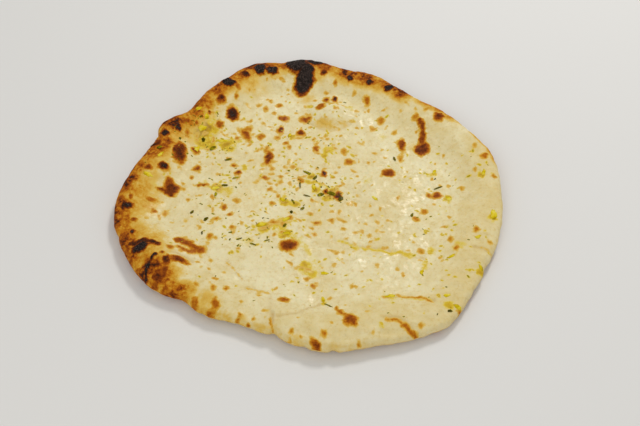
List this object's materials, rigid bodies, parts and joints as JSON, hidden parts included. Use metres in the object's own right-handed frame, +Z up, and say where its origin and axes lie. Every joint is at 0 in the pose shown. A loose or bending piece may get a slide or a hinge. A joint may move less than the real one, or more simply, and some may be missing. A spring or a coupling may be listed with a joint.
{
  "type": "naan bread",
  "caption": "Round flat tandoor-baked bread with a puffed, scorched rim and a shallow buttered middle, topped with chopped coriander and garlic.",
  "frame": {"origin": "on the table, under the middle of the bread's outline", "axes": "+X across the bread to its right, +Y to its back edge where the scorched blister is, +Z up out of the buttered top"},
  "size_m": [0.3, 0.297, 0.0186],
  "materials": {
    "baked_dough": "satin",
    "coriander": "satin",
    "garlic": "satin"
  },
  "bodies": {
    "root": {"naan_bread": "baked_dough", "coriander_leaf_01": "coriander", "coriander_leaf_02": "coriander", "coriander_leaf_03": "coriander", "coriander_leaf_04": "coriander", "coriander_leaf_05": "coriander", "coriander_leaf_06": "coriander", "coriander_leaf_07": "coriander", "coriander_leaf_08": "coriander", "coriander_leaf_09": "coriander", "coriander_leaf_10": "coriander", "coriander_leaf_11": "coriander", "coriander_leaf_12": "coriander", "coriander_leaf_13": "coriander", "coriander_leaf_14": "coriander", "coriander_leaf_15": "coriander", "coriander_leaf_16": "coriander", "coriander_leaf_17": "coriander", "coriander_leaf_18": "coriander", "coriander_leaf_19": "coriander", "coriander_leaf_20": "coriander", "coriander_leaf_21": "coriander", "coriander_leaf_22": "coriander", "coriander_leaf_23": "coriander", "coriander_leaf_24": "coriander", "coriander_leaf_25": "coriander", "coriander_leaf_26": "coriander", "coriander_leaf_27": "coriander", "coriander_leaf_28": "coriander", "coriander_leaf_29": "coriander", "garlic_bit_01": "garlic", "garlic_bit_02": "garlic", "garlic_bit_03": "garlic", "garlic_bit_04": "garlic", "garlic_bit_05": "garlic", "garlic_bit_06": "garlic", "garlic_bit_07": "garlic", "garlic_bit_08": "garlic", "garlic_bit_09": "garlic", "garlic_bit_10": "garlic", "garlic_bit_11": "garlic", "garlic_bit_12": "garlic", "garlic_bit_13": "garlic", "garlic_bit_14": "garlic", "garlic_bit_15": "garlic", "garlic_bit_16": "garlic", "garlic_bit_17": "garlic", "garlic_bit_18": "garlic", "garlic_bit_19": "garlic", "garlic_bit_20": "garlic", "garlic_bit_21": "garlic", "garlic_bit_22": "garlic", "garlic_bit_23": "garlic", "garlic_bit_24": "garlic", "garlic_bit_25": "garlic", "garlic_bit_26": "garlic", "garlic_bit_27": "garlic", "garlic_bit_28": "garlic"}
  },
  "joints": []
}
